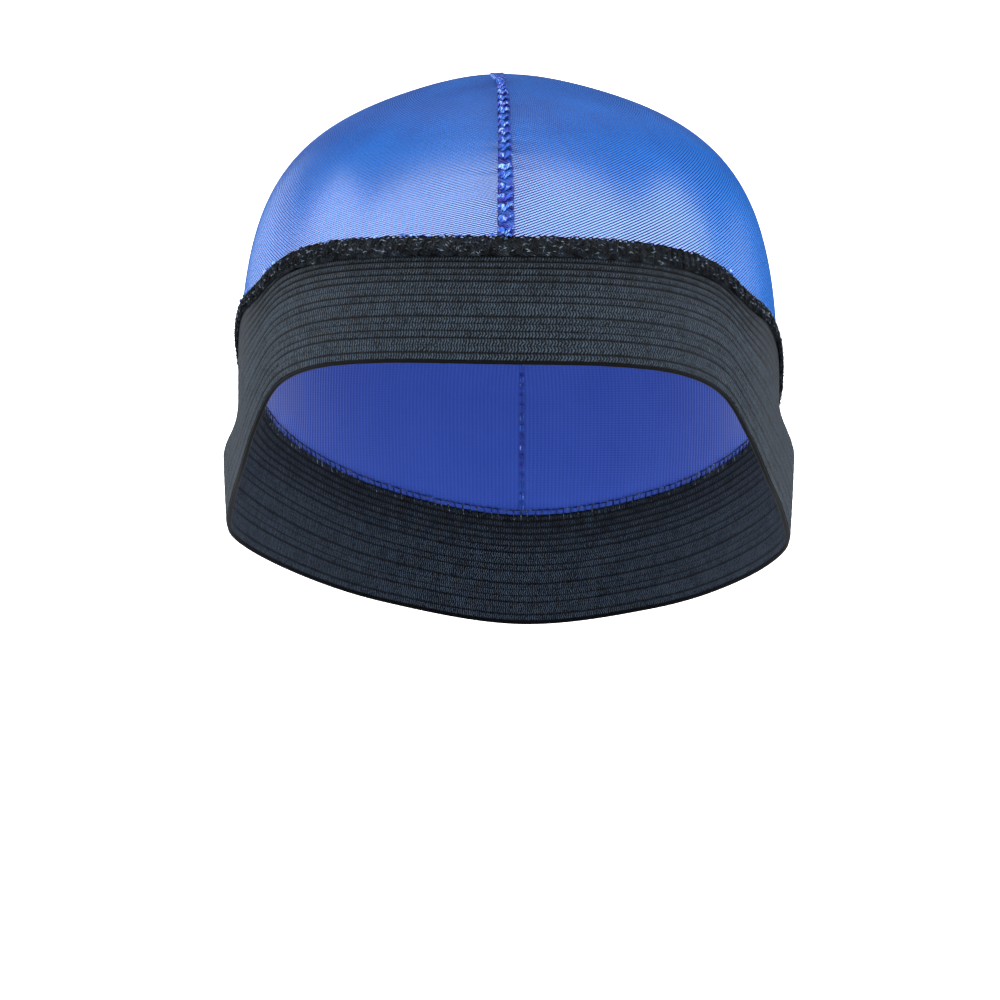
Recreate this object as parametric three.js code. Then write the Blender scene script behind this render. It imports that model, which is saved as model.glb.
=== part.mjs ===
// Wave cap: two stretched satin panels, a raised overlocked centre seam, a ribbed elastic band
// that runs over the forehead, the tops of the ears and the nape, and the overlock that joins
// band and panels. The cap keeps the form that it has when it is worn, hollow and open below.
// Millimetres: -Y is the front, +Z is up. The origin is the middle of the head opening.

import * as THREE from "three";

// Head form: the inside of the cap
const formWidth = 149;          // side to side at the widest level
const frontReach = 108;         // from the form's axis to the forehead
const backReach = 87;           // from the form's axis to the back
const crownHeight = 89;         // from the widest level to the top
const skirtDepth = 76;          // from the widest level down to the nape
const widestLevel = 30;         // height of the widest level over the origin
const axisSetback = 12;         // the form's axis stands this far behind the origin
const topShift = -0.5;           // sideways lean of the top

// Where the elastic is carried over the tops of the ears
const earLiftLeft = 6.6;        // on the -X side
const earLiftRight = 5;         // on the +X side
const earSetback = 22;
const earReach = 50;
const earCrest = 9;             // softness of the crest along the band
const earTop = 28;              // height where the lift begins
const earFull = 12;             // height where it is whole

// Elastic band
const bandWidth = 33.5;         // what shows of it below the joint with the panels
const bandWall = 1.5;
const ribCount = 17;
const ribDepth = 0.45;
const browLevel = 35;           // height of the lower edge at the centre of the forehead
const napeFall = 72;            // how far the lower edge falls from there to the nape
const sideDrop = 3.4;           // the band sits this much lower on the +X side

// Crown panels and centre seam
const crownWall = 1;
const seamWidth = 4.4;
const seamHeight = 1.8;
const seamWander = 2.6;         // sideways wander of the seam from the middle

// Overlock over the joint of band and panels
const overlockWidth = 5.6;
const overlockHeight = 0.8;
const overlockReach = 1.3;      // how far it reaches over the panels

const clearance = 0.3;          // between neighbouring pieces

// Grid steps
const turnSteps = 72;
const crownRows = 12;
const bandInnerRows = 5;
const seamSteps = 56;
const climbSamples = 90;

// How full the form is, from an ellipse at 2 to squarer at 3: in plan, and in profile at the
// widest level and at the top
const fullnessInPlan = { frontPower: 2.2, backPower: 2.2 };
const fullnessInProfile = { frontPower: 1.95, sidePower: 2.75, backPower: 2.2, topPower: 1.98 };
const topFade = { fromShare: 0.3, toShare: 0.95 };    // where the profile changes to the top's, as climb

// How far the form draws in at the nape's level, as a share of its reach there
const tuckShares = [
  { around: 0.0, tuckShare: 0.0 },
  { around: 0.5, tuckShare: 0.06 },
  { around: 0.75, tuckShare: 0.13 },
  { around: 1.0, tuckShare: 0.17 },
];

// The band from the centre of the forehead, 0, to the nape, 1: how far its lower edge has
// fallen, as a share of napeFall, and its height up the form, as a share of bandWidth
const bandSections = [
  { around: 0.0, fallShare: 0.0, heightShare: 1.0 },
  { around: 0.1, fallShare: 0.0, heightShare: 0.98 },
  { around: 0.167, fallShare: 0.024, heightShare: 0.98 },
  { around: 0.222, fallShare: 0.09, heightShare: 1.02 },
  { around: 0.28, fallShare: 0.24, heightShare: 1.14 },
  { around: 0.35, fallShare: 0.39, heightShare: 1.34 },
  { around: 0.43, fallShare: 0.5, heightShare: 1.38 },
  { around: 0.53, fallShare: 0.63, heightShare: 1.36 },
  { around: 0.67, fallShare: 0.78, heightShare: 1.2 },
  { around: 0.83, fallShare: 0.92, heightShare: 1.05 },
  { around: 1.0, fallShare: 1.0, heightShare: 1.0 },
];

// Where the seam lies, from the forehead over the top to the nape, as a share of seamWander
const seamCourse = [
  { along: 0.0, sideShare: 1.3 },
  { along: 0.25, sideShare: 0.5 },
  { along: 0.5, sideShare: -0.5 },
  { along: 0.75, sideShare: -0.4 },
  { along: 1.0, sideShare: 0.0 },
];

// The seam's ridge along the same way: flat by the forehead, stood on edge above it, laid over
// at the top. Shares of seamWidth and seamHeight; lean is the top's sideways shift over the width
const seamSections = [
  { along: 0.0, widthShare: 1.0, heightShare: 0.75, leanShare: 0.0 },
  { along: 0.16, widthShare: 0.95, heightShare: 0.8, leanShare: 0.1 },
  { along: 0.26, widthShare: 0.6, heightShare: 1.0, leanShare: -0.05 },
  { along: 0.34, widthShare: 0.6, heightShare: 1.05, leanShare: -0.25 },
  { along: 0.42, widthShare: 0.85, heightShare: 0.9, leanShare: -0.4 },
  { along: 0.5, widthShare: 0.9, heightShare: 0.8, leanShare: -0.3 },
  { along: 0.7, widthShare: 0.8, heightShare: 0.85, leanShare: -0.1 },
  { along: 1.0, widthShare: 0.9, heightShare: 0.8, leanShare: 0.0 },
];

const clamp = (value, low, high) => Math.min(high, Math.max(low, value));
const mix = (a, b, share) => a + (b - a) * share;
const smooth = (share) => share * share * (3 - 2 * share);

// One named column of a table, read at any place with a soft curve through its rows
function readTable(table, key, column, place) {
  let row = 0;
  while (row < table.length - 2 && place > table[row + 1][key]) {
    row += 1;
  }
  const from = table[row];
  const to = table[row + 1];
  const before = table[row - 1] ?? from;
  const after = table[row + 2] ?? to;
  const span = to[key] - from[key];
  const share = clamp((place - from[key]) / span, 0, 1);
  const slopeFrom = row === 0 ? 0 : ((to[column] - before[column]) / (to[key] - before[key])) * span;
  const slopeTo =
    row === table.length - 2 ? 0 : ((after[column] - from[column]) / (after[key] - from[key])) * span;
  const cube = share * share * share;
  const square = share * share;
  return (
    (2 * cube - 3 * square + 1) * from[column] +
    (cube - 2 * square + share) * slopeFrom +
    (3 * square - 2 * cube) * to[column] +
    (cube - square) * slopeTo
  );
}

// turn is the angle round the form's axis: 0 at the forehead, a right angle at +X, pi at the nape
const aroundShare = (turn) => Math.acos(clamp(Math.cos(turn), -1, 1)) / Math.PI;

function planReach(turn) {
  const ahead = Math.cos(turn) > 0;
  const reach = ahead ? frontReach : backReach;
  const power = ahead ? fullnessInPlan.frontPower : fullnessInPlan.backPower;
  const sum =
    Math.abs(Math.sin(turn) / (formWidth / 2)) ** power + Math.abs(Math.cos(turn) / reach) ** power;
  return sum ** (-1 / power);
}

function profilePower(turn, climb) {
  const end = Math.cos(turn) > 0 ? fullnessInProfile.frontPower : fullnessInProfile.backPower;
  const low = mix(fullnessInProfile.sidePower, end, Math.cos(turn) ** 2);
  const fade = clamp((climb - topFade.fromShare) / (topFade.toShare - topFade.fromShare), 0, 1);
  return mix(low, fullnessInProfile.topPower, smooth(fade));
}

// The share of the lift over an ear: a soft crest with long flanks, because taut elastic bridges
function earShare(y, z) {
  const away = Math.hypot(y - earSetback, earCrest) - earCrest;
  const flank = 1 - clamp(away / earReach, 0, 1);
  const depth = clamp((earTop - z) / (earTop - earFull), 0, 1);
  return flank * flank * smooth(depth);
}

// A point of the form. climb is -1 at the nape's level, 0 at the widest level and 1 at the top
function formPoint(turn, climb) {
  let share = 1;
  let rise = 0;
  if (climb >= 0) {
    const lift = (climb * Math.PI) / 2;
    const power = profilePower(turn, climb);
    const radius = (Math.abs(Math.cos(lift)) ** power + Math.sin(lift) ** power) ** (-1 / power);
    share = radius * Math.cos(lift);
    rise = crownHeight * radius * Math.sin(lift);
  } else {
    share = 1 - readTable(tuckShares, "around", "tuckShare", aroundShare(turn)) * climb * climb;
    rise = skirtDepth * climb;
  }
  const reach = planReach(turn) * share;
  const along = -reach * Math.cos(turn);
  const across = reach * Math.sin(turn);
  const y = axisSetback + along;
  const z = widestLevel + rise;
  const seamPlace = clamp((along + frontReach) / (frontReach + backReach), 0, 1);
  const wander = seamWander * readTable(seamCourse, "along", "sideShare", seamPlace);
  const nearSeam = Math.exp(-((across / (formWidth / 6)) ** 2)) * smooth(clamp(climb * 4, 0, 1));
  const leaning = topShift * clamp(rise / crownHeight, 0, 1) ** 2;
  const earPush = (across < 0 ? -earLiftLeft : earLiftRight) * earShare(y, z);
  const x = across + wander * nearSeam + leaning + earPush;
  return new THREE.Vector3(x, y, z);
}

function formNormal(turn, climb) {
  const step = 0.002;
  const up = formPoint(turn, Math.min(climb + step, 1)).sub(formPoint(turn, climb - step));
  const round = formPoint(turn + step, climb).sub(formPoint(turn - step, climb));
  const normal = round.cross(up);
  return normal.length() < 1e-9 ? new THREE.Vector3(0, 0, 1) : normal.normalize();
}

function climbAtLevel(turn, level) {
  let low = -1;
  let high = 1;
  for (let step = 0; step < 40; step += 1) {
    const middle = (low + high) / 2;
    if (formPoint(turn, middle).z < level) {
      low = middle;
    } else {
      high = middle;
    }
  }
  return (low + high) / 2;
}

// The way up the form from the band's lower edge, at one turn, measured along the surface
function measureColumn(turn) {
  const around = aroundShare(turn);
  const fall = napeFall * readTable(bandSections, "around", "fallShare", around);
  const edgeLevel = browLevel - fall - (sideDrop / 2) * Math.sin(turn);
  const start = climbAtLevel(turn, edgeLevel);
  const samples = [{ climb: start, length: 0 }];
  let last = formPoint(turn, start);
  for (let step = 1; step <= climbSamples; step += 1) {
    const climb = mix(start, 1, step / climbSamples);
    const point = formPoint(turn, climb);
    samples.push({ climb, length: samples[step - 1].length + point.distanceTo(last) });
    last = point;
  }
  return { turn, samples, bandHeight: bandWidth * readTable(bandSections, "around", "heightShare", around) };
}

function climbAfter(column, length) {
  const { samples } = column;
  let step = 1;
  while (step < climbSamples && samples[step].length < length) {
    step += 1;
  }
  const from = samples[step - 1];
  const to = samples[step];
  return mix(from.climb, to.climb, (length - from.length) / (to.length - from.length));
}

// A point at a length up the column, standing off the form by an offset
function pointOff(column, length, offset) {
  const climb = climbAfter(column, length);
  return formPoint(column.turn, climb).addScaledVector(formNormal(column.turn, climb), offset);
}

// Builds a closed solid from quads and triangles of points, with its faces outwards
class SolidBuilder {
  constructor() {
    this.points = [];
    this.faces = [];
  }

  add(point) {
    this.points.push(point);
    return this.points.length - 1;
  }

  triangle(a, b, c) {
    const [pa, pb, pc] = [this.points[a], this.points[b], this.points[c]];
    const flat = 1e-3;
    if (pa.distanceTo(pb) > flat && pb.distanceTo(pc) > flat && pc.distanceTo(pa) > flat) {
      this.faces.push([a, b, c]);
    }
  }

  quad(a, b, c, d) {
    this.triangle(a, b, c);
    this.triangle(a, c, d);
  }

  // Rings of points joined into a tube; closed when its last ring meets its first
  tube(rings, closed) {
    const ids = rings.map((ring) => ring.map((point) => this.add(point)));
    const count = rings[0].length;
    const last = closed ? rings.length : rings.length - 1;
    for (let i = 0; i < last; i += 1) {
      const here = ids[i];
      const next = ids[(i + 1) % rings.length];
      for (let j = 0; j < count; j += 1) {
        const k = (j + 1) % count;
        this.quad(here[j], next[j], next[k], here[k]);
      }
    }
    if (!closed) {
      this.cap(ids[0], true);
      this.cap(ids[ids.length - 1], false);
    }
  }

  cap(ids, reversed) {
    const middle = new THREE.Vector3();
    ids.forEach((id) => middle.add(this.points[id]));
    const centre = this.add(middle.divideScalar(ids.length));
    ids.forEach((id, j) => {
      const next = ids[(j + 1) % ids.length];
      if (reversed) {
        this.triangle(centre, id, next);
      } else {
        this.triangle(centre, next, id);
      }
    });
  }

  geometry() {
    const cross = new THREE.Vector3();
    let volume = 0;
    this.faces.forEach(([a, b, c]) => {
      volume += cross.crossVectors(this.points[b], this.points[c]).dot(this.points[a]);
    });
    const faces = volume < 0 ? this.faces.map(([a, b, c]) => [a, c, b]) : this.faces;
    const geometry = new THREE.BufferGeometry();
    const positions = this.points.flatMap((point) => [point.x, point.y, point.z]);
    geometry.setAttribute("position", new THREE.Float32BufferAttribute(positions, 3));
    geometry.setIndex(faces.flat());
    geometry.computeVertexNormals();
    return geometry;
  }
}

const columns = Array.from({ length: turnSteps }, (_, i) => measureColumn((i / turnSteps) * 2 * Math.PI));

// One half of the crown, from the forehead round one side to the nape, up to the top
function crownPanel(side) {
  const shift = new THREE.Vector3((side * clearance) / 2, 0, 0);
  const layer = (offset) => {
    const grid = [];
    for (let i = 0; i <= turnSteps / 2; i += 1) {
      const column = columns[(side * i + turnSteps) % turnSteps];
      const foot = climbAfter(column, column.bandHeight + clearance);
      const line = [];
      for (let j = 0; j <= crownRows; j += 1) {
        const climb = mix(foot, 1, j / crownRows);
        const point = formPoint(column.turn, climb);
        line.push(point.addScaledVector(formNormal(column.turn, climb), offset).add(shift));
      }
      grid.push(line);
    }
    return grid;
  };
  const inner = layer(0);
  const outer = layer(crownWall);
  const solid = new SolidBuilder();
  const apexIn = solid.add(inner[0][crownRows]);
  const apexOut = solid.add(outer[0][crownRows]);
  const number = (grid, apex) =>
    grid.map((line) => line.map((point, j) => (j === crownRows ? apex : solid.add(point))));
  const innerIds = number(inner, apexIn);
  const outerIds = number(outer, apexOut);
  const lastLine = turnSteps / 2;
  for (let i = 0; i < lastLine; i += 1) {
    for (let j = 0; j < crownRows - 1; j += 1) {
      solid.quad(outerIds[i][j], outerIds[i + 1][j], outerIds[i + 1][j + 1], outerIds[i][j + 1]);
      solid.quad(innerIds[i][j], innerIds[i][j + 1], innerIds[i + 1][j + 1], innerIds[i + 1][j]);
    }
    solid.triangle(outerIds[i][crownRows - 1], outerIds[i + 1][crownRows - 1], apexOut);
    solid.triangle(innerIds[i][crownRows - 1], apexIn, innerIds[i + 1][crownRows - 1]);
    solid.quad(outerIds[i][0], innerIds[i][0], innerIds[i + 1][0], outerIds[i + 1][0]);
  }
  for (let j = 0; j < crownRows; j += 1) {
    solid.quad(outerIds[0][j], outerIds[0][j + 1], innerIds[0][j + 1], innerIds[0][j]);
    const [outerLine, innerLine] = [outerIds[lastLine], innerIds[lastLine]];
    solid.quad(outerLine[j], innerLine[j], innerLine[j + 1], outerLine[j + 1]);
  }
  return solid.geometry();
}

// The elastic: its outer face rises and falls from rib to groove, its inner face is smooth
function elasticBand() {
  const rings = columns.map((column) => {
    const ring = [];
    for (let step = 0; step <= 2 * ribCount; step += 1) {
      const length = (column.bandHeight * step) / (2 * ribCount);
      const groove = step % 2 === 0 && step > 0 && step < 2 * ribCount;
      ring.push(pointOff(column, length, groove ? bandWall - ribDepth : bandWall));
    }
    for (let row = bandInnerRows - 1; row >= 0; row -= 1) {
      ring.push(pointOff(column, (column.bandHeight * row) / (bandInnerRows - 1), 0));
    }
    return ring;
  });
  const solid = new SolidBuilder();
  solid.tube(rings, true);
  return solid.geometry();
}

// The overlock lies on the band's upper edge and steps down onto the panels
function bandOverlock() {
  const onBand = bandWall + clearance;
  const onPanel = crownWall + clearance;
  const rings = columns.map((column) => {
    const joint = column.bandHeight;
    const lower = joint + overlockReach - overlockWidth;
    const upper = joint + overlockReach;
    const section = [
      { length: lower, offset: onBand },
      { length: lower, offset: onBand + overlockHeight * 0.5 },
      { length: mix(lower, upper, 0.2), offset: onBand + overlockHeight },
      { length: mix(lower, upper, 0.7), offset: onBand + overlockHeight },
      { length: upper, offset: onPanel + overlockHeight * 0.6 },
      { length: upper, offset: onPanel },
      { length: joint + clearance, offset: onPanel },
      { length: joint + clearance, offset: onBand },
    ];
    return section.map(({ length, offset }) => pointOff(column, length, offset));
  });
  const solid = new SolidBuilder();
  solid.tube(rings, true);
  return solid.geometry();
}

// The raised centre seam, from the overlock at the forehead over the top to the one at the nape
function crownSeam() {
  const [front, back] = [columns[0], columns[turnSteps / 2]];
  const foot = (column) => climbAfter(column, column.bandHeight + overlockReach + clearance);
  const stations = [];
  for (let step = 0; step <= seamSteps; step += 1) {
    const along = step / seamSteps;
    const column = along <= 0.5 ? front : back;
    const climb = mix(foot(column), 1, 1 - Math.abs(2 * along - 1));
    const normal = formNormal(column.turn, climb);
    const point = formPoint(column.turn, climb).addScaledVector(normal, crownWall + clearance);
    stations.push({ along, point, normal });
  }
  const rings = stations.map(({ along, point, normal }, step) => {
    const before = stations[Math.max(step - 1, 0)].point;
    const after = stations[Math.min(step + 1, seamSteps)].point;
    const forward = after.clone().sub(before).normalize();
    const side = forward.clone().cross(normal).normalize();
    const half = (seamWidth / 2) * readTable(seamSections, "along", "widthShare", along);
    const height = seamHeight * readTable(seamSections, "along", "heightShare", along);
    const lean = seamWidth * readTable(seamSections, "along", "leanShare", along);
    const section = [
      { across: -half, up: 0 },
      { across: -half + lean * 0.6, up: height * 0.65 },
      { across: -half * 0.5 + lean, up: height },
      { across: half * 0.5 + lean, up: height },
      { across: half + lean * 0.6, up: height * 0.65 },
      { across: half, up: 0 },
    ];
    return section.map(({ across, up }) =>
      point.clone().addScaledVector(side, across).addScaledVector(normal, up));
  });
  const solid = new SolidBuilder();
  solid.tube(rings, false);
  return solid.geometry();
}

function piece(name, geometry, material) {
  const mesh = new THREE.Mesh(geometry, material);
  mesh.name = name;
  return mesh;
}

const satin = new THREE.MeshStandardMaterial({ color: 0x3f6fd0, roughness: 0.42, metalness: 0.0 });
const seamThread = new THREE.MeshStandardMaterial({ color: 0x2f3fae, roughness: 0.6, metalness: 0.0 });
const elastic = new THREE.MeshStandardMaterial({ color: 0x23272c, roughness: 0.85, metalness: 0.0 });
const blackThread = new THREE.MeshStandardMaterial({ color: 0x17191d, roughness: 0.8, metalness: 0.0 });

const cap = new THREE.Group();
cap.add(piece("crown_panel_left", crownPanel(-1), satin));
cap.add(piece("crown_panel_right", crownPanel(1), satin));
cap.add(piece("crown_seam", crownSeam(), seamThread));
cap.add(piece("elastic_band", elasticBand(), elastic));
cap.add(piece("band_overlock", bandOverlock(), blackThread));

export default cap;
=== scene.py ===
import math
import bpy
import numpy as np
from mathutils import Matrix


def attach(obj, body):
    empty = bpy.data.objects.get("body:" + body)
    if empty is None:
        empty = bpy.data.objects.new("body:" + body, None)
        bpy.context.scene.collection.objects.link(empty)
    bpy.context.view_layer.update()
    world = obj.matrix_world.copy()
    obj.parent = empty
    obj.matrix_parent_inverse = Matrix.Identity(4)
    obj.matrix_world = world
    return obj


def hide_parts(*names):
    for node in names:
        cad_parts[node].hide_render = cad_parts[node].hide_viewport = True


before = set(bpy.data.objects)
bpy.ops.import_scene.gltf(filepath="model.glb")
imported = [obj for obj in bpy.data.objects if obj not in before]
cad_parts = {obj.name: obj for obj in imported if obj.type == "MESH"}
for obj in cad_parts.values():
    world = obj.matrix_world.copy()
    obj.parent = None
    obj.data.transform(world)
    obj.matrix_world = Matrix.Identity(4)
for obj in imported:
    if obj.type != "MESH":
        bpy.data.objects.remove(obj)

bpy.ops.object.select_all(action="DESELECT")
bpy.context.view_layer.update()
view = bpy.context.scene.view_settings
view.view_transform = "Standard"
mm = 0.001
print("frame loaded")

# Camera: level, far off with a long lens, a little to the cap's +X side
cameraPlace = {"lens": 160.63, "away": 1.25, "aside": -0.0023, "turn": math.radians(2.5)}


def addCamera(place):
    turn = place["turn"]
    bpy.ops.object.camera_add(rotation=(math.pi / 2, 0, turn))
    camera = bpy.context.object
    camera.name = "camera"
    camera.data.lens = place["lens"]
    camera.location = (
        place["away"] * math.sin(turn) + place["aside"] * math.cos(turn),
        -place["away"] * math.cos(turn) + place["aside"] * math.sin(turn),
        0,
    )
    camera.data.clip_start = 0.05
    camera.data.clip_end = 30
    bpy.context.scene.camera = camera


addCamera(cameraPlace)

# The form that the cloth is stretched over, in millimetres, as the CAD solids have it
capForm = {
    "width": 149, "frontReach": 108, "backReach": 87, "crownHeight": 89, "skirtDepth": 76,
    "widestLevel": 30, "setback": 12, "topShift": -0.5,
    "planPower": 2.2, "frontPower": 1.95, "sidePower": 2.75, "backPower": 2.2, "topPower": 1.98,
    "topFrom": 0.3, "topTo": 0.95, "seamWander": 2.6,
    "seamFlatFrom": 0.65, "seamFlatOver": 0.2,
    "earLiftLeft": 6.6, "earLiftRight": 5, "earSetback": 22, "earReach": 50, "earCrest": 9,
    "earTop": 28, "earFull": 12,
    "tuck": [(0, 0), (0.5, 0.06), (0.75, 0.13), (1, 0.17)],
    "seamCourse": [(0, 1.3), (0.25, 0.5), (0.5, -0.5), (0.75, -0.4), (1, 0)],
}
capBand = {
    "width": 33.5, "wall": 1.5, "browLevel": 35, "napeFall": 72, "sideDrop": 3.4,
    "fall": [(0, 0), (0.1, 0), (0.167, 0.024), (0.222, 0.09), (0.28, 0.24), (0.35, 0.39),
             (0.43, 0.5), (0.53, 0.63), (0.67, 0.78), (0.83, 0.92), (1, 1)],
    "height": [(0, 1), (0.1, 0.98), (0.167, 0.98), (0.222, 1.02), (0.28, 1.14), (0.35, 1.34),
               (0.43, 1.38), (0.53, 1.36), (0.67, 1.2), (0.83, 1.05), (1, 1)],
}


def readTable(rows, place):
    # soft curve through the rows, level at both ends
    xs, ys = np.array(rows, float).T
    slopes = np.zeros(len(xs))
    slopes[1:-1] = (ys[2:] - ys[:-2]) / (xs[2:] - xs[:-2])
    row = np.clip(np.searchsorted(xs, place, side="right") - 1, 0, len(xs) - 2)
    span = xs[row + 1] - xs[row]
    t = np.clip((place - xs[row]) / span, 0, 1)
    return (
        (2 * t**3 - 3 * t**2 + 1) * ys[row] + (t**3 - 2 * t**2 + t) * slopes[row] * span
        + (3 * t**2 - 2 * t**3) * ys[row + 1] + (t**3 - t**2) * slopes[row + 1] * span
    )


def smooth(t):
    t = np.clip(t, 0, 1)
    return t * t * (3 - 2 * t)


def runningLength(points):
    # the length along each row of points, from 0 at its start
    hops = np.linalg.norm(np.diff(points, axis=-2), axis=-1)
    return np.concatenate([np.zeros(hops.shape[:-1] + (1,)), np.cumsum(hops, axis=-1)], -1)


def aroundShare(turn):
    return np.arccos(np.clip(np.cos(turn), -1, 1)) / math.pi


def formPoint(turn, climb):
    # turn is 0 at the forehead and a right angle at +X, climb is 0 at the widest level and 1 on top
    f = capForm
    turn, climb = np.broadcast_arrays(np.asarray(turn, float), np.asarray(climb, float))
    cosTurn, sinTurn = np.cos(turn), np.sin(turn)
    reach = np.where(cosTurn > 0, f["frontReach"], f["backReach"])
    plan = (np.abs(sinTurn / (f["width"] / 2)) ** f["planPower"]
            + np.abs(cosTurn / reach) ** f["planPower"]) ** (-1 / f["planPower"])
    endPower = np.where(cosTurn > 0, f["frontPower"], f["backPower"])
    power = f["sidePower"] + (endPower - f["sidePower"]) * cosTurn**2
    power = power + (f["topPower"] - power) * smooth((climb - f["topFrom"]) / (f["topTo"] - f["topFrom"]))
    lift = np.clip(climb, 0, 1) * math.pi / 2
    radius = (np.abs(np.cos(lift)) ** power + np.sin(lift) ** power) ** (-1 / power)
    tucked = 1 - readTable(f["tuck"], aroundShare(turn)) * climb**2
    share = np.where(climb >= 0, radius * np.cos(lift), tucked)
    rise = np.where(climb >= 0, f["crownHeight"] * radius * np.sin(lift), f["skirtDepth"] * climb)
    along, across = -plan * share * cosTurn, plan * share * sinTurn
    y, z = f["setback"] + along, f["widestLevel"] + rise
    seamPlace = np.clip((along + f["frontReach"]) / (f["frontReach"] + f["backReach"]), 0, 1)
    nearSeam = np.exp(-((across / (f["width"] / 6)) ** 2)) * smooth(climb * 4)
    wander = f["seamWander"] * readTable(f["seamCourse"], seamPlace) * nearSeam
    leaning = f["topShift"] * np.clip(rise / f["crownHeight"], 0, 1) ** 2
    away = np.hypot(y - f["earSetback"], f["earCrest"]) - f["earCrest"]
    flank = 1 - np.clip(away / f["earReach"], 0, 1)
    earShare = flank**2 * smooth((f["earTop"] - z) / (f["earTop"] - f["earFull"]))
    push = np.where(across < 0, -f["earLiftLeft"], f["earLiftRight"]) * earShare
    return np.stack([across + wander + leaning + push, y, z], -1)


def unit(vectors):
    return vectors / np.maximum(np.linalg.norm(vectors, axis=-1, keepdims=True), 1e-12)


def formNormal(turn, climb):
    step = 0.002
    up = formPoint(turn, np.minimum(climb + step, 1)) - formPoint(turn, climb - step)
    around = formPoint(turn + step, climb) - formPoint(turn - step, climb)
    normal = np.cross(around, up)
    flat = np.linalg.norm(normal, axis=-1, keepdims=True) < 1e-7
    return unit(np.where(flat, np.array([0.0, 0.0, 1.0]), normal))


def onTop(climb):
    # 0 up the sides, 1 on top of the cap, where the seam lies flat
    return smooth((climb - capForm["seamFlatFrom"]) / capForm["seamFlatOver"])


class Columns:
    # lines straight up the form from the band's lower edge, with lengths measured on the cloth
    def __init__(self, turns):
        around = aroundShare(turns)
        b = capBand
        level = (b["browLevel"] - b["napeFall"] * readTable(b["fall"], around)
                 - b["sideDrop"] / 2 * np.sin(turns))
        low, high = -np.ones(len(turns)), np.ones(len(turns))
        for _ in range(40):
            middle = (low + high) / 2
            under = formPoint(turns, middle)[:, 2] < level
            low, high = np.where(under, middle, low), np.where(under, high, middle)
        steps = np.linspace(0, 1, 161)
        self.climbs = low[:, None] + (1 - low[:, None]) * steps
        self.lengths = runningLength(formPoint(turns[:, None], self.climbs))
        self.joint = b["width"] * readTable(b["height"], around)
        self.full = self.lengths[:, -1]

    def climbAt(self, lengths):
        # lengths has one row for each column
        rows = zip(lengths, self.lengths, self.climbs)
        return np.stack([np.interp(row, known, climbs) for row, known, climbs in rows])


def spreadTurns(turns, count, closed):
    # turns at even lengths round the joint of band and crown
    columns = Columns(turns)
    ways = runningLength(formPoint(turns, columns.climbAt(columns.joint[:, None])[:, 0]))
    places = np.linspace(0, ways[-1], count + 1 if closed else count)
    found = np.interp(places, ways, turns)
    return found[:-1] if closed else found


roundTurns = spreadTurns(np.linspace(-math.pi, math.pi, 1441), 1440, False)
roundColumns = Columns(roundTurns)
jointWays = runningLength(formPoint(roundTurns, roundColumns.climbAt(roundColumns.joint[:, None])[:, 0]))
jointRound = jointWays[-1]
gridStep = 0.5
heightGrid = np.arange(-60, 12.1, gridStep)
climbGrid = roundColumns.climbAt(roundColumns.joint[:, None] + heightGrid[None, :])
print("form measured, the joint is", round(jointRound, 1), "mm round")


def capPoint(way, height, offset):
    # way is the length round the joint from the nape over -X, height is above the joint
    way, height, offset = np.broadcast_arrays(way, height, offset)
    place = np.interp(way % jointRound, jointWays, np.arange(len(jointWays)))
    row = np.clip(place.astype(int), 0, len(jointWays) - 2)
    col = np.clip((height - heightGrid[0]) / gridStep, 0, len(heightGrid) - 1.001)
    step = col.astype(int)
    a, b = place - row, col - step
    climb = ((1 - a) * ((1 - b) * climbGrid[row, step] + b * climbGrid[row, step + 1])
             + a * ((1 - b) * climbGrid[row + 1, step] + b * climbGrid[row + 1, step + 1]))
    turn = (1 - a) * roundTurns[row] + a * roundTurns[row + 1]
    return formPoint(turn, climb) + formNormal(turn, climb) * offset[..., None]


def waves(place, lengths, seed):
    # a soft irregular line from a few sines, the same each run
    draw = np.random.default_rng(seed)
    total = np.zeros_like(place)
    for length in lengths:
        total = total + np.sin(2 * math.pi * (place / length + draw.random())) * draw.uniform(0.6, 1)
    return total / len(lengths)


# Mesh code for cloth and thread, which bpy.ops has no primitive for
def makeMesh(name, points, faces, material, layer, pattern):
    # the pattern's two numbers for each point become a UV layer
    mesh = bpy.data.meshes.new(name)
    mesh.from_pydata((points.reshape(-1, 3) * mm).tolist(), [], faces)
    corners = np.zeros(len(mesh.loops), np.int32)
    mesh.loops.foreach_get("vertex_index", corners)
    uv = mesh.uv_layers.new(name=layer)
    uv.data.foreach_set("uv", pattern.reshape(-1, 2).astype(np.float32)[corners].ravel())
    mesh.materials.append(material)
    mesh.shade_smooth()
    mesh.validate()
    obj = bpy.data.objects.new(name, mesh)
    bpy.context.collection.objects.link(obj)
    return obj


def gridFaces(rows, columns, flip=False):
    # rows run along the first index
    faces = []
    for i in range(rows - 1):
        for k in range(columns - 1):
            near, far = i * columns + k, (i + 1) * columns + k
            faces.append((near, far, far + 1, near + 1))
    return [face[::-1] for face in faces] if flip else faces


def gridPattern(rowValues, columnValues):
    return np.stack(np.meshgrid(rowValues, columnValues, indexing="ij"), -1)


def closeRings(points, wholeRound):
    # repeats the first point of each ring, and the first ring where a piece goes all the way round
    points = np.concatenate([points, points[:, :1]], 1)
    return np.concatenate([points, points[:1]]) if wholeRound else points


def addNumbers(mesh, name, values):
    layer = mesh.attributes.new(name, "FLOAT", "POINT")
    layer.data.foreach_set("value", np.asarray(values, np.float32).ravel())


def useModifier(obj, kind, **settings):
    bpy.context.view_layer.objects.active = obj
    obj.select_set(True)
    modifier = obj.modifiers.new(kind.lower(), kind)
    for key, value in settings.items():
        setattr(modifier, key, value)
    bpy.ops.object.modifier_apply(modifier=modifier.name)
    obj.select_set(False)


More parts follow.
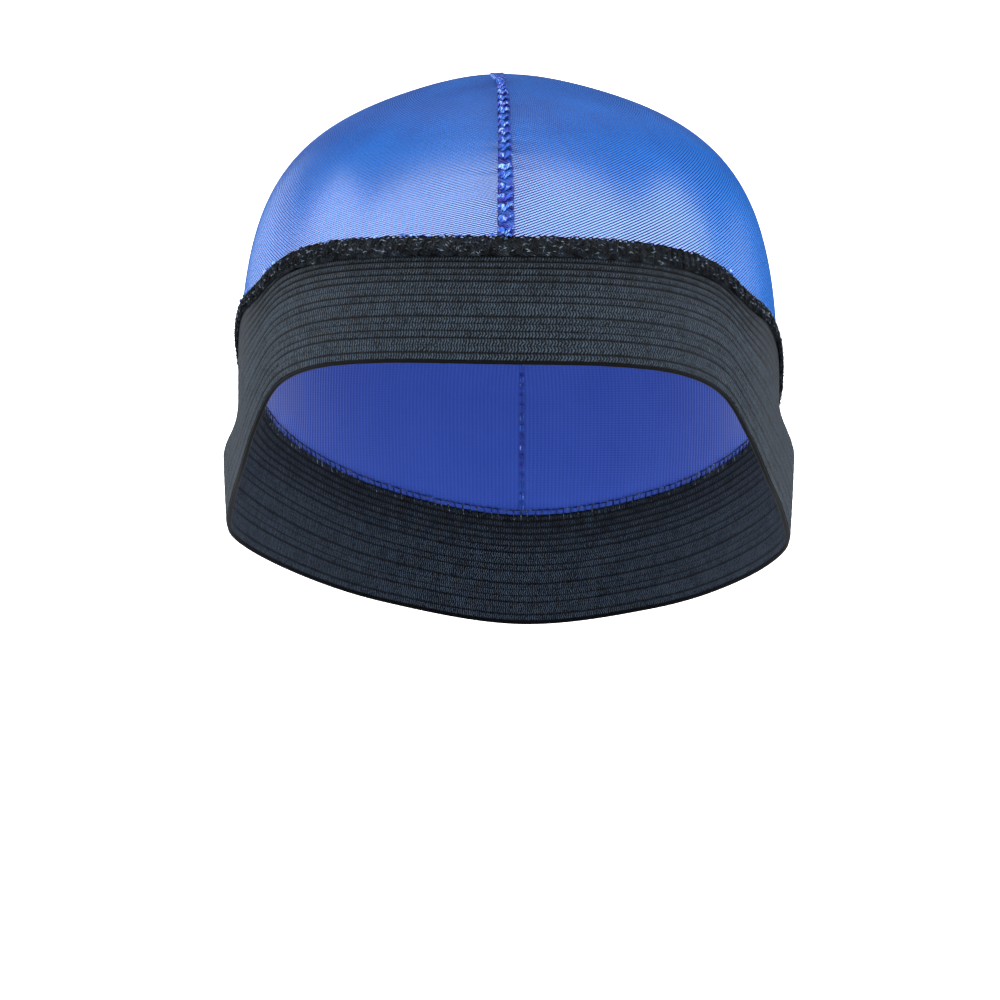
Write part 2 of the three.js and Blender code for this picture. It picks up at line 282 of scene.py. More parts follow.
# Materials
class Shader:
    def __init__(self, name):
        self.material = bpy.data.materials.new(name)
        self.material.use_nodes = True
        self.tree = self.material.node_tree
        self.surface = self.tree.nodes["Principled BSDF"]

    def node(self, kind, inputs=None, **settings):
        made = self.tree.nodes.new(kind)
        for key, value in settings.items():
            setattr(made, key, value)
        for key, value in (inputs or {}).items():
            self.set(made.inputs[key], value)
        return made

    def set(self, socket, value):
        if isinstance(value, bpy.types.NodeSocket):
            self.tree.links.new(value, socket)
        else:
            socket.default_value = value

    def math(self, operation, a, b=0.0, c=0.0):
        return self.node("ShaderNodeMath", {0: a, 1: b, 2: c}, operation=operation).outputs[0]

    def between(self, value, low, high, toLow=0.0, toHigh=1.0):
        inputs = {"Value": value, "From Min": low, "From Max": high, "To Min": toLow, "To Max": toHigh}
        return self.node("ShaderNodeMapRange", inputs).outputs["Result"]

    def mix(self, share, a, b):
        made = self.node("ShaderNodeMix", data_type="RGBA")
        self.set(made.inputs["Factor"], share)
        self.set(made.inputs["A"], a)
        self.set(made.inputs["B"], b)
        return made.outputs["Result"]

    def noise(self, scale, detail=2.0):
        place = self.node("ShaderNodeTexCoord").outputs["Object"]
        inputs = {"Scale": scale, "Detail": detail, "Vector": place}
        return self.node("ShaderNodeTexNoise", inputs).outputs["Fac"]

    def pattern(self, name):
        layer = self.node("ShaderNodeUVMap", uv_map=name).outputs[0]
        parts = self.node("ShaderNodeSeparateXYZ", {0: layer})
        return parts.outputs[0], parts.outputs[1]

    def number(self, name):
        return self.node("ShaderNodeAttribute", attribute_name=name).outputs["Fac"]

    def cosine(self, turns):
        return self.math("COSINE", self.math("MULTIPLY", turns, 2 * math.pi))

    def wave(self, turns):
        # from 0 to 1 and back in each turn
        return self.math("MULTIPLY_ADD", self.cosine(turns), 0.5, 0.5)

    def bump(self, height, strength, distance):
        inputs = {"Height": height, "Strength": strength, "Distance": distance}
        self.set(self.surface.inputs["Normal"], self.node("ShaderNodeBump", inputs).outputs[0])

    def finish(self, **values):
        for key, value in values.items():
            self.set(self.surface.inputs[key], value)
        return self.material


def rgb(red, green, blue):
    # a colour from 0 to 255 as a screen shows it, made linear
    parts = [c / 255 for c in (red, green, blue)]
    return [c / 12.92 if c <= 0.04045 else ((c + 0.055) / 1.055) ** 2.4 for c in parts] + [1.0]


satinLook = {
    "thread": rgb(22, 130, 240), "gap": rgb(3, 44, 134), "threadRoughness": 0.27, "gapRoughness": 1.0,
    "ior": 2.1, "relief": 0.00001, "ribDepth": 0.08, "fadeTo": 0.4, "shineTo": 0.53,
    "clouds": [(45.0, 3.0, 0.35), (1800.0, 1.0, 0.5)],
    "colourRange": (0.26, 0.76), "roughRange": (0.34, 0.6), "metalRange": (0.34, 0.58),
    "back": rgb(26, 62, 150), "backBars": 0.4, "backRelief": 0.0001, "backRange": (0.2, 1.9),
}


def satinMaterial(look):
    # stitches stand in a staggered lattice: U counts the wales and V the stitches up them
    s = Shader("crown_satin")
    wale, stitch = s.pattern("weave")
    half = s.math("MULTIPLY", wale, 0.5)
    rising = s.wave(s.math("SUBTRACT", stitch, half))
    falling = s.wave(s.math("ADD", stitch, half))
    dots = s.math("SQRT", s.math("MULTIPLY", rising, falling))
    slant = s.number("slant")
    fromRising = s.math("MULTIPLY", rising, s.between(slant, 0.0, 1.0))
    fromFalling = s.math("MULTIPLY", falling, s.between(slant, 0.0, -1.0))
    spread = s.math("SUBTRACT", 1.0, s.math("ABSOLUTE", slant))
    lattice = s.math("ADD", s.math("ADD", fromRising, fromFalling), s.math("MULTIPLY", dots, spread))
    clear, ribs = s.number("clear"), s.wave(wale)

    def ribbed(level):
        # the lattice, evened to one level where it isn't clear, with the ribs of the wales on it
        faded = s.math("MULTIPLY_ADD", s.math("SUBTRACT", lattice, level), clear, level)
        return s.math("MULTIPLY_ADD", ribs, look["ribDepth"], faded)

    height, shine = ribbed(look["fadeTo"]), ribbed(look["shineTo"])
    shade = height
    for scale, detail, share in look["clouds"]:
        uneven = s.math("SUBTRACT", s.noise(scale, detail), 0.5)
        shade = s.math("MULTIPLY_ADD", uneven, share, shade)
    s.bump(height, 1.0, look["relief"])
    return s.finish(**{
        "Base Color": s.mix(s.between(shade, *look["colourRange"]), look["gap"], look["thread"]),
        "Roughness": s.between(shine, *look["roughRange"], look["gapRoughness"], look["threadRoughness"]),
        # metal gaps keep their blue in the shine
        "Metallic": s.between(shine, *look["metalRange"], 1.0, 0.0),
        "Specular IOR Level": 1.0, "IOR": look["ior"],
    })


def satinBackMaterial(look):
    s = Shader("crown_satin_back")
    wale, stitch = s.pattern("weave")
    height = s.math("MULTIPLY_ADD", s.wave(stitch), look["backBars"], s.wave(wale))
    s.bump(height, 0.8, look["backRelief"])
    light = s.between(s.math("ADD", height, s.noise(60.0)), *look["backRange"])
    return s.finish(**{
        "Base Color": s.mix(light, look["gap"], look["back"]), "Roughness": 0.8,
        "Specular IOR Level": 0.4, "Sheen Weight": 0.3, "Sheen Roughness": 0.5,
    })


bandLook = {
    "thread": rgb(50, 64, 78), "gap": rgb(2, 3, 5), "relief": 0.0001, "chevron": 1.1, "wobble": 0.8,
    "dashRange": (-0.7, 0.8), "grooveBeat": 2.4, "crestReach": (0.47, 0.2),
    "topCrest": (9.0, 13.0, 0.5, 0.2), "paintedTopShade": (10.0, 16.0, 1.0, 0.52),
    "patchRange": (0.3, 0.75, 0.55, 1.15), "grainRange": (0.3, 0.7, 0.2, 1.9),
}


def elasticMaterial(look):
    # U counts the stitches round the band, V the ribs across it
    s = Shader("band_elastic")
    stitch, rib = s.pattern("weave")
    inRib = s.math("ABSOLUTE", s.math("SUBTRACT", s.math("FRACT", rib), 0.5))
    wobble = s.math("MULTIPLY", s.noise(900.0), look["wobble"])
    chevron = s.math("ADD", s.math("MULTIPLY_ADD", inRib, look["chevron"], stitch), wobble)
    dashes = s.between(s.cosine(chevron), *look["dashRange"])
    # the grooves are painted dark as painted shade, over the mesh's own grooves: some grooves show more than
    # others, and the top ones most
    eachGroove = s.math("SINE", s.math("MULTIPLY", s.math("ROUND", rib), look["grooveBeat"]))
    eachReach = s.between(eachGroove, -1.0, 1.0, *look["crestReach"])
    reach = s.math("MINIMUM", eachReach, s.between(rib, *look["topCrest"]))
    height = s.math("MULTIPLY", dashes, s.between(inRib, 0.5, reach))
    patch = s.between(s.noise(260.0, 3.0), *look["patchRange"])
    grain = s.between(s.noise(2200.0, 1.0), *look["grainRange"])
    # patch and grain vary the tone at random; the last share is painted shade that darkens the top ribs
    light = height
    for share in (patch, grain, s.between(rib, *look["paintedTopShade"])):
        light = s.math("MULTIPLY", light, share)
    s.bump(height, 0.9, look["relief"])
    return s.finish(**{
        "Base Color": s.mix(light, look["gap"], look["thread"]),
        "Roughness": 0.82, "Specular IOR Level": 0.25, "Sheen Weight": 0.08, "Sheen Roughness": 0.45,
        "Sheen Tint": rgb(190, 200, 215),
    })


threadLook = {
    "twist": 0.9, "plies": 3.0, "filament": 0.4, "patchRange": (0.32, 0.68, 0.0, 0.5),
    "mixRange": (0.42, 0.58), "paintedGlintOver": 0.18, "relief": 0.0001,
}
seamLook = {
    "dark": rgb(6, 10, 92), "light": rgb(38, 104, 218), "other": rgb(56, 70, 198),
    "paintedGlint": rgb(160, 204, 250), "roughness": 0.34, "sheen": 0.02, "specular": 0.4,
    "darkBelow": 0.06, "lightAbove": 1.04, "paintedGlintFrom": 0.48,
}
overlockLook = {
    "dark": rgb(1, 1, 3), "light": rgb(24, 37, 50), "other": rgb(36, 44, 52),
    "paintedGlint": rgb(112, 126, 140), "roughness": 0.7, "sheen": 0.0, "specular": 0.22,
    "darkBelow": 0.3, "lightAbove": 0.85, "paintedGlintFrom": 0.45,
}


def threadMaterial(name, look):
    # U runs along the thread in millimetres, V once round it; tone lightens or darkens a whole thread and
    # raises its share of painted glints
    s = Shader(name)
    c = threadLook
    along, around = s.pattern("thread")
    filament = s.wave(s.math("MULTIPLY_ADD", along, c["twist"], s.math("MULTIPLY", around, c["plies"])))
    patch = s.between(s.noise(420.0, 3.0), *c["patchRange"])
    tone = s.math("ADD", s.math("MULTIPLY_ADD", filament, c["filament"], patch), s.number("tone"))
    light = s.mix(s.between(s.noise(260.0, 1.0), *c["mixRange"]), look["light"], look["other"])
    colour = s.mix(s.between(tone, look["darkBelow"], look["lightAbove"]), look["dark"], light)
    # painted glints: pale highlight specks mixed into the base colour where noise times tone is high
    glow = s.math("MULTIPLY", s.noise(900.0, 1.0), tone)
    paintedGlintShare = s.between(glow, look["paintedGlintFrom"], look["paintedGlintFrom"] + c["paintedGlintOver"])
    s.bump(filament, 0.8, c["relief"])
    return s.finish(**{
        "Base Color": s.mix(paintedGlintShare, colour, look["paintedGlint"]), "Roughness": look["roughness"],
        "Specular IOR Level": look["specular"], "Sheen Weight": look["sheen"], "Sheen Roughness": 0.4,
    })


satin = satinMaterial(satinLook)
satinBack = satinBackMaterial(satinLook)
elastic = elasticMaterial(bandLook)
seamThread = threadMaterial("seam_thread", seamLook)
blackThread = threadMaterial("overlock_thread", overlockLook)
print("materials made")

# Crown panels: one sheet of satin each, turned outwards at the seam into the ridge
panelCloth = {
    "columns": 190, "columnEase": 0.4, "rows": 112, "rowEase": 0.55, "rowPower": 1.35,
    "offset": 1.0, "thickness": 0.5, "footHeight": 0.1, "seamGap": 0.05,
    "pucker": 0.16, "puckerReach": 5.0, "puckerWaves": [3.6, 5.1, 8.3], "backWay": 400,
    "edgePucker": 0.1, "edgeReach": 7, "edgeWaves": [4.3, 6.7, 11.0],
    "edgeSwell": 0.1, "swellHeight": 2.6, "swellReach": 1.6,
    "seamLift": 0.35, "seamReach": 1.2, "flange": [0.25, 0.5], "flangeLean": 0.12, "flatShare": 0.9,
    "waleWidth": 1.15, "stitchHeight": 0.74, "fan": 0.8,
    "slantPlaces": [-78, -66, -56, -42, -14, 0, 14, 36, 78],
    "slants": [-0.8, -0.8, 0.1, 0.9, 0.6, 0.4, 0.65, 0.95, 0.95],
    "fadeFrom": 78, "fadeOver": 36, "fadeShare": 0.85,
}

levelTurns = np.linspace(-math.pi, math.pi, 721)
levelWays = runningLength(formPoint(levelTurns, 0.0))


def weavePlace(turn, upward, top):
    # wales rise straight up the sides and run into the seam on top; upward is 0 at the widest level
    quarter = np.interp(np.sign(turn + 1e-9) * math.pi / 2, levelTurns, levelWays)
    share = np.clip(upward / top, 0, 1)
    across = (np.interp(turn, levelTurns, levelWays) - quarter) * (1 - share**2) ** panelCloth["fan"]
    return across / panelCloth["waleWidth"], upward / panelCloth["stitchHeight"]


def crownPanel(name, side):
    c = panelCloth
    even = np.linspace(0, 1, c["columns"])
    even = even - c["columnEase"] * np.sin(2 * math.pi * even) / (2 * math.pi)     # closer by the seam
    halfRound = np.linspace(0, math.pi, 721)
    reached = np.interp(even, halfRound / math.pi, spreadTurns(halfRound, len(halfRound), False))
    turns = side * np.clip(reached, 0, math.pi)
    columns = Columns(turns)
    rows = np.linspace(0, 1, c["rows"])
    rows = (1 - c["rowEase"]) * rows + c["rowEase"] * rows ** c["rowPower"]        # closer by the band
    foot = columns.joint + c["footHeight"]
    lengths = foot[:, None] + (columns.full - foot)[:, None] * rows
    climbs = columns.climbAt(lengths)
    climbs[:, -1] = 1.0
    points = formPoint(turns[:, None], climbs)
    normals = formNormal(turns[:, None], climbs)
    inFront = np.abs(turns)[:, None] < math.pi / 2
    fromSeam = np.abs(points[..., 0] - formPoint(np.where(inFront, 0.0, math.pi * side), climbs)[..., 0])
    rise = lengths - foot[:, None]
    ways = np.interp(turns, roundTurns, jointWays)[:, None] + 0 * rise
    seamWay = np.where(inFront, rise, c["backWay"] - rise)
    pucker = waves(seamWay, c["puckerWaves"], 11 + side) * np.exp(-fromSeam / c["puckerReach"])
    gather = waves(ways, c["edgeWaves"], 23 + side) * np.exp(-rise / c["edgeReach"])
    swell = np.exp(-((rise - c["swellHeight"]) / c["swellReach"]) ** 2) * c["edgeSwell"]
    lift = c["offset"] + pucker * c["pucker"] + gather * c["edgePucker"] + swell
    flat = 1 - c["flatShare"] * onTop(climbs)
    lift = lift + c["seamLift"] * np.exp(-fromSeam / c["seamReach"]) * flat
    points = points + normals * lift[..., None]
    points[..., 0] += side * c["seamGap"]
    steps = np.linspace(0, 1, 121)
    heights = runningLength(formPoint(turns[:, None], steps))
    upward = np.stack([np.interp(row, steps, known) for row, known in zip(climbs, heights)])
    upward = upward + np.minimum(climbs, 0) * capForm["skirtDepth"]
    weave = np.stack(weavePlace(turns[:, None], upward, heights[:, -1:]), -1)
    # the turned edge stands in the ridge, in front and behind
    edges = []
    for column in (0, -1):
        for height in c["flange"]:
            raised = points[column] + normals[column] * height * flat[column][:, None]
            edges.append(raised + np.array([side * c["flangeLean"] * height, 0, 0]))
    turned = len(c["flange"])
    points = np.concatenate([edges[:turned][::-1], points, edges[turned:]])
    weave = np.concatenate([weave[:1]] * turned + [weave] + [weave[-1:]] * turned)
    obj = makeMesh(name, points, gridFaces(*points.shape[:2], flip=side < 0), satin, "weave", weave)
    obj.data.materials.append(satinBack)
    return obj, points


def markWeave(panel, points):
    # slant tells how the stitch rows catch the light: rising, falling, or as single dots
    c = panelCloth
    addNumbers(panel.data, "slant", np.interp(points[..., 0], c["slantPlaces"], c["slants"]))
    faded = smooth((points[..., 2] - c["fadeFrom"]) / c["fadeOver"])
    addNumbers(panel.data, "clear", 1 - c["fadeShare"] * faded)


for side, word in ((-1, "left"), (1, "right")):
    panel, panelPoints = crownPanel("satin_panel_" + word, side)
    markWeave(panel, panelPoints)
    useModifier(panel, "WELD", merge_threshold=0.00002)
    useModifier(panel, "SOLIDIFY", thickness=panelCloth["thickness"] * mm, offset=-1, material_offset=1)
    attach(panel, "root")
    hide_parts("crown_panel_" + word)
    print(panel.name, len(panel.data.polygons), "faces")

# Elastic band: rounded ribs outside, a finer ribbing inside, a thin rolled edge below
elasticCloth = {
    "steps": 480, "ribs": 17, "edge": 0.9, "stitchWidth": 0.72, "earStretch": 0.3,
    "grooveDepth": 0.36, "topGrooveDepth": 0.74, "earGrooveDepth": 0.18, "topFrom": 9, "topOver": 5,
    "unevenGrooves": 0.4, "grooveShift": 1.2,
    "lip": [(0, 0.45), (0, 0.95), (0.25, 1.2), (0.6, 1.2), (0.85, 0.95)],
    "ribRise": [(0.0, 1.0), (0.1, 0.55), (0.28, 0.12), (0.5, 0.0), (0.72, 0.12), (0.9, 0.55)],
    "innerRise": [(0.0, 0.22), (0.5, 0.0)], "innerLip": (0.4, 0.1),
}


def elasticBand(name):
    c = elasticCloth
    turns = spreadTurns(np.linspace(-math.pi, math.pi, 721), c["steps"], True)
    columns = Columns(turns)
    joint, wall = columns.joint[:, None], capBand["wall"]
    pull = np.clip((joint / capBand["width"] - 1) / c["earStretch"], 0, 1)         # 1 over an ear
    pitch = (joint - c["edge"]) / c["ribs"]
    # each row is a length up the band, an offset from the form and a place among the ribs
    rows = [(length, offset, 0.0) for length, offset in c["lip"]]
    for rib in range(c["ribs"]):
        topward = smooth((rib - c["topFrom"]) / c["topOver"])
        uneven = math.sin(bandLook["grooveBeat"] * rib + c["grooveShift"])
        grooveDepth = c["grooveDepth"] * (1 + c["unevenGrooves"] * uneven)
        depth = grooveDepth + (c["topGrooveDepth"] - grooveDepth) * topward
        depth = depth + (c["earGrooveDepth"] - depth) * pull
        for share, sink in c["ribRise"]:
            rows.append((c["edge"] + pitch * (rib + share), wall - depth * sink, rib + share))
    rows += [(joint, wall - 0.2, c["ribs"]), (joint, wall * 0.5, c["ribs"])]
    for rib in range(c["ribs"], 0, -1):
        for share, sink in c["innerRise"]:
            rows.append((c["edge"] + pitch * (rib - share), sink, rib - share))
    rows += [(c["edge"], c["innerRise"][0][1], 0.0), (*c["innerLip"], 0.0)]
    lengths = np.concatenate([row[0] + 0 * joint for row in rows], 1)
    offsets = np.concatenate([row[1] + 0 * joint for row in rows], 1)
    climbs = columns.climbAt(lengths)
    points = formPoint(turns[:, None], climbs) + formNormal(turns[:, None], climbs) * offsets[..., None]
    points = closeRings(points, True)
    # the seam of the pattern falls on the join at the nape
    ways = np.append(np.interp(turns, roundTurns, jointWays), jointRound)
    stitches = np.round(jointRound / c["stitchWidth"]) * ways / jointRound
    weave = gridPattern(stitches, np.array([row[2] for row in rows + rows[:1]]))
    obj = makeMesh(name, points, gridFaces(*points.shape[:2], flip=True), elastic, "weave", weave)
    useModifier(obj, "WELD", merge_threshold=0.00001)
    return obj


band = elasticBand("elastic_ribbed_band")
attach(band, "root")
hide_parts("elastic_band")
print(band.name, len(band.data.polygons), "faces")

# Overlock over the joint: an uneven roll of thread
overlockRoll = {
    "steps": 620, "width": 5.6, "reach": 1.3, "bumpWaves": [1.9, 2.7, 4.9], "frayWaves": [2.3, 3.9, 7.1],
    "narrowing": [(0, 1), (0.16, 1), (0.26, 0.8), (0.36, 0.66), (0.6, 0.7), (1, 0.9)],
}


def drawnIn(ways, heights, top):
    # the strip is narrower round the temples and ears
    around = aroundShare(np.interp(ways % jointRound, jointWays, roundTurns))
    return top - (top - heights) * readTable(overlockRoll["narrowing"], around)


def overlockBase(name):
    c = overlockRoll
    ways = np.arange(c["steps"]) / c["steps"] * jointRound
    lower, upper = c["reach"] - c["width"], c["reach"]
    onBand, onPanel = capBand["wall"] + 0.15, panelCloth["offset"] + 0.1
    section = [
        (lower, onBand), (lower - 0.1, onBand + 0.35), (lower + 0.5, onBand + 0.62),
        (lower + 1.5, onBand + 0.55), (lower + 2.6, onBand + 0.68), (lower + 3.8, onBand + 0.6),
        (lower + 4.8, onBand + 0.45), (upper, onPanel + 0.5), (upper + 0.05, onPanel),
        (upper - 0.9, onPanel - 0.1), (0.2, onBand - 0.1),
    ]
    outside, edges = range(1, 8), (1, 7, 8)
    points = []
    for k, (height, offset) in enumerate(section):
        bumpy = waves(ways, c["bumpWaves"], 40 + k) * (0.28 if k in outside else 0.02)
        wavy = waves(ways, c["frayWaves"], 60 + k) * (0.3 if k in edges else 0.05)
        points.append(capPoint(ways, drawnIn(ways, height, upper) + wavy, offset + bumpy))
    points = closeRings(np.stack(points, 1), True)
    pattern = gridPattern(np.append(ways, jointRound), np.linspace(0, 4, points.shape[1]))
    faces = gridFaces(*points.shape[:2], flip=True)
    obj = makeMesh(name, points, faces, blackThread, "thread", pattern)
    useModifier(obj, "WELD", merge_threshold=0.00001)
    return obj


overlock = overlockBase("overlock_roll")
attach(overlock, "root")
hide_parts("band_overlock")
print(overlock.name, len(overlock.data.polygons), "faces")

# Centre seam: the rolled seam allowance, with its overlock threads over it
seamRidge = {
    "steps": 420, "width": 4.3, "height": 1.8, "lift": 1.1, "topLift": 0.85, "footGap": 0.1,
    "widths": [(0, 1), (0.08, 0.96), (0.17, 0.78), (0.22, 0.74), (0.28, 0.72), (0.32, 0.5), (0.36, 0.64),
               (0.42, 0.72), (0.5, 0.75), (0.7, 0.8), (1, 0.95)],
    "heights": [(0, 0.72), (0.17, 0.85), (0.28, 1), (0.32, 0.95), (0.36, 0.5), (0.42, 0.15), (0.5, 0.12),
                (0.7, 0.5), (1, 0.8)],
    "leans": [(0, 0), (0.17, 0), (0.28, -0.05), (0.32, -0.12), (0.36, -0.3), (0.42, -0.4), (0.5, -0.25),
              (0.7, -0.1), (1, 0)],
    "section": [(-0.95, 0), (-0.96, 0.3), (-0.75, 0.55), (-0.3, 0.66), (0.3, 0.64), (0.75, 0.5),
                (0.94, 0.28), (0.93, 0)],
    "wobble": 0.1, "wobbleWaves": [2.7, 3.6, 6.1], "riseWobble": 0.6,
}


class SeamLine:
    # the seam from the overlock at the forehead over the top to the overlock at the nape
    def __init__(self, steps):
        ends = Columns(np.array([0.0, math.pi]))
        foot = ends.joint + overlockRoll["reach"] + seamRidge["footGap"]
        footClimb = ends.climbAt(foot[:, None])[:, 0]
        self.along = np.linspace(0, 1, steps)
        front = self.along <= 0.5
        turn = np.where(front, 0.0, math.pi)
        start = np.where(front, footClimb[0], footClimb[1])
        climb = start + (1 - start) * (1 - np.abs(2 * self.along - 1))
        self.normals = formNormal(turn, climb)
        lift = seamRidge["lift"] + (seamRidge["topLift"] - seamRidge["lift"]) * onTop(climb)
        self.points = formPoint(turn, climb) + self.normals * lift[:, None]
        forward = unit(np.gradient(self.points, axis=0))
        self.sides = unit(np.cross(forward, self.normals))
        self.ways = runningLength(self.points)
        self.length = self.ways[-1]

    def beside(self, way, across, up):
        # across and up in millimetres from the seam's line
        tables = (self.points, self.sides, self.normals)
        point, side, normal = (
            np.stack([np.interp(way, self.ways, table[:, k]) for k in range(3)], -1) for table in tables)
        return point + unit(side) * across[..., None] + unit(normal) * up[..., None]

    def place(self, way, across, up):
        # across and up are shares of the ridge's own half width and height there
        way, across, up = np.broadcast_arrays(way, across, up)
        along = np.interp(way, self.ways, self.along)
        half = seamRidge["width"] / 2 * readTable(seamRidge["widths"], along)
        height = seamRidge["height"] * readTable(seamRidge["heights"], along)
        lean = seamRidge["width"] * readTable(seamRidge["leans"], along)
        return self.beside(way, across * half + lean * np.clip(up, 0, 1.2), up * height)

    def near(self, way, across, offset):
        # across and offset from the form in millimetres
        return self.beside(way, *np.broadcast_arrays(across, offset - seamRidge["lift"]))


seamLine = SeamLine(seamRidge["steps"])
print("seam is", round(seamLine.length, 1), "mm long")


def seamBase(name):
    c = seamRidge
    ways = np.linspace(0, seamLine.length, c["steps"])
    last = len(c["section"]) - 1
    rings = []
    for k, (across, up) in enumerate(c["section"]):
        wobble = waves(ways, c["wobbleWaves"], 80 + k) * c["wobble"]
        rise = wobble * (c["riseWobble"] if 0 < k < last else 0)
        rings.append(seamLine.place(ways, across + wobble, up + rise))
    points = closeRings(np.stack(rings, 1), False)
    faces = gridFaces(*points.shape[:2])
    faces.append(tuple(range(len(c["section"])))[::-1])
    faces.append(tuple((len(points) - 1) * points.shape[1] + k for k in range(len(c["section"]))))
    pattern = gridPattern(ways, np.linspace(0, 2, points.shape[1]))
    obj = makeMesh(name, points, faces, seamThread, "thread", pattern)
    useModifier(obj, "WELD", merge_threshold=0.00001)
    return obj


ridge = seamBase("seam_ridge")
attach(ridge, "root")
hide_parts("crown_seam")
print(ridge.name, len(ridge.data.polygons), "faces")

# One short length of thread, modelled once and laid along every stitch
def strandTemplate(rings, sides):
    bpy.ops.mesh.primitive_circle_add(vertices=sides, radius=1, fill_type="NGON")
    strand = bpy.context.object
    bpy.ops.object.mode_set(mode="EDIT")
    for _ in range(rings - 1):
        bpy.ops.mesh.extrude_region_move(TRANSFORM_OT_translate={"value": (0, 0, 1)})
    bpy.ops.mesh.select_all(action="SELECT")
    bpy.ops.mesh.normals_make_consistent(inside=False)
    bpy.ops.object.mode_set(mode="OBJECT")
    corners = np.array([vertex.co[:] for vertex in strand.data.vertices])
    faces = [tuple(face.vertices) for face in strand.data.polygons]
    bpy.ops.object.delete()
    return corners, faces


def layStrands(name, template, paths, ups, radii, tones, material):
    # paths and ups have a row of points for each strand, radii one value each point, tones one each strand
    corners, faces = template
    ring = np.round(corners[:, 2]).astype(int)
    forward = unit(np.gradient(paths, axis=1))
    sides = unit(np.cross(ups, forward))
    above = np.cross(forward, sides)
    points = paths[:, ring] + radii[:, ring, None] * (
        corners[None, :, :1] * sides[:, ring] + corners[None, :, 1:2] * above[:, ring])
    along = runningLength(paths)[:, ring]
    around = np.broadcast_to(np.arctan2(corners[:, 1], corners[:, 0]) / (2 * math.pi) + 0.5, along.shape)
    count = len(corners)
    laid = [tuple(v + k * count for v in face) for k in range(len(paths)) for face in faces]
    obj = makeMesh(name, points, laid, material, "thread", np.stack([along, around], -1))
    addNumbers(obj.data, "tone", np.repeat(tones, count))
    print(name, len(paths), "strands,", len(obj.data.polygons), "faces")
    return obj


class Strands:
    # gathers strands as rows of places, heights and offsets before they are laid
    def __init__(self, rings, seed, count):
        self.rings, self.count = rings, count
        self.steps = np.linspace(0, 1, rings)
        self.arch = np.sin(math.pi * self.steps)
        self.draw = np.random.default_rng(seed)
        self.rows, self.radii, self.tones = [], [], []

    def vary(self, low, high):
        # one random number for each stitch
        return self.draw.uniform(low, high, self.count)[:, None]

    def spread(self, length, unevenness=0.0):
        # even places along a length, each a little off where there is unevenness
        places = np.arange(self.count)
        if unevenness:
            places = places + self.vary(-unevenness, unevenness)[:, 0]
        return places * length / self.count

    def add(self, start, first, second, third, radius, tone):
        # start is one number for each stitch; the three curves are rows over the steps, or one row each
        grids = [np.broadcast_to(curve, (self.count, self.rings)) for curve in (first, second, third)]
        self.rows.append(np.stack([start[:, None] + grids[0], grids[1], grids[2]], -1))
        taper = 0.55 + 0.45 * np.sin(math.pi * np.clip(self.steps * 0.9 + 0.05, 0, 1)) ** 0.6
        size = self.draw.uniform(0.85, 1.15, self.count)
        self.radii.append(radius * size[:, None] * taper[None, :])
        self.tones.append(tone + self.draw.uniform(-0.12, 0.12, self.count))

    def lay(self, name, placed, sides, material, upSign=1):
        # placed turns a way, a height and an offset into points; tones lighten or darken whole strands
        way, second, third = np.moveaxis(np.concatenate(self.rows), -1, 0)
        points = placed(way, second, third)
        ups = unit(upSign * (placed(way, second, third + 0.5) - points))
        template = strandTemplate(self.rings, sides)
        radii, tones = np.concatenate(self.radii), np.concatenate(self.tones)
        return layStrands(name, template, points, ups, radii, tones, material)


def alongSeam(placed):
    # keeps the ends of the seam's stitches on the seam
    return lambda way, across, up: placed(np.clip(way, 0.3, seamLine.length - 0.3), across, up)


# Overlock threads of the seam: rounded loop heads on the left, slanting loops on the right
seamStitch = {"pitch": 3.75, "radius": 0.28, "loops": 3, "needleAcross": -1.02, "needleRadius": 0.2}


def seamThreads(name):
    c = seamStitch
    s = Strands(9, 7, int(seamLine.length / c["pitch"]))
    t, arch, vary = s.steps, s.arch, s.vary
    start = s.spread(seamLine.length, 0.12)
    for k in range(c["loops"]):
        across = -0.25 + 0.08 * k + vary(-0.08, 0.08) + (1.2 - 0.1 * k) * t
        way = 0.2 + 0.42 * k + vary(-0.12, 0.12) + vary(1.9, 2.6) * t**0.9
        up = 0.86 + 0.32 * np.sin(math.pi * t**0.8) - 2.25 * np.clip(t - 0.75, 0, 1)
        s.add(start, way, across, up + vary(-0.06, 0.06), c["radius"], 0.42 - 0.05 * k)
    for k, reach in enumerate((1.0, 0.62)):
        bend = math.radians(200) - math.radians(300) * t
        across = -0.56 + vary(-0.08, 0.06) + 0.38 * reach * np.cos(bend)
        way = 1.5 + vary(-0.25, 0.25) + 0.85 * reach * np.sin(bend)
        up = 0.9 + 0.24 * arch + 0.12 * k
        s.add(start, way, across, up + vary(-0.05, 0.08), c["radius"] * 1.1, 0.42 + 0.1 * k)
    way = 1.15 + vary(-0.2, 0.2) + 0.75 * t
    s.add(start, way, -0.68 + 0.26 * t, 1.12 + 0.1 * arch, c["radius"] * 1.15, 0.5)
    for k in range(2):
        across = 0.95 - 1.75 * t + vary(-0.1, 0.1)
        way = 0.9 + 0.5 * k + vary(-0.3, 0.3) + 2.2 * t
        s.add(start, way, across, 0.72 + 0.2 * arch, c["radius"] * 0.85, -0.15)
    # the needle threads along the left edge get dark tones: partly the thread's own colour, partly painted
    # shadow beside the ridge
    across = c["needleAcross"] + vary(-0.03, 0.03)
    s.add(start, 0.25 + 3.1 * t, across, 0.05 + 0.1 * arch, c["needleRadius"], -0.4)
    way = 1.9 + vary(-0.4, 0.4) + 1.5 * t
    across = -1.0 + vary(-0.05, 0.05) + 0.2 * t
    s.add(start, way, across, 0.3 + 0.45 * arch, c["needleRadius"], -0.3)
    return s.lay(name, alongSeam(seamLine.place), 6, seamThread)


seamStrands = seamThreads("seam_threads")
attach(seamStrands, "root")
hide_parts("crown_seam")

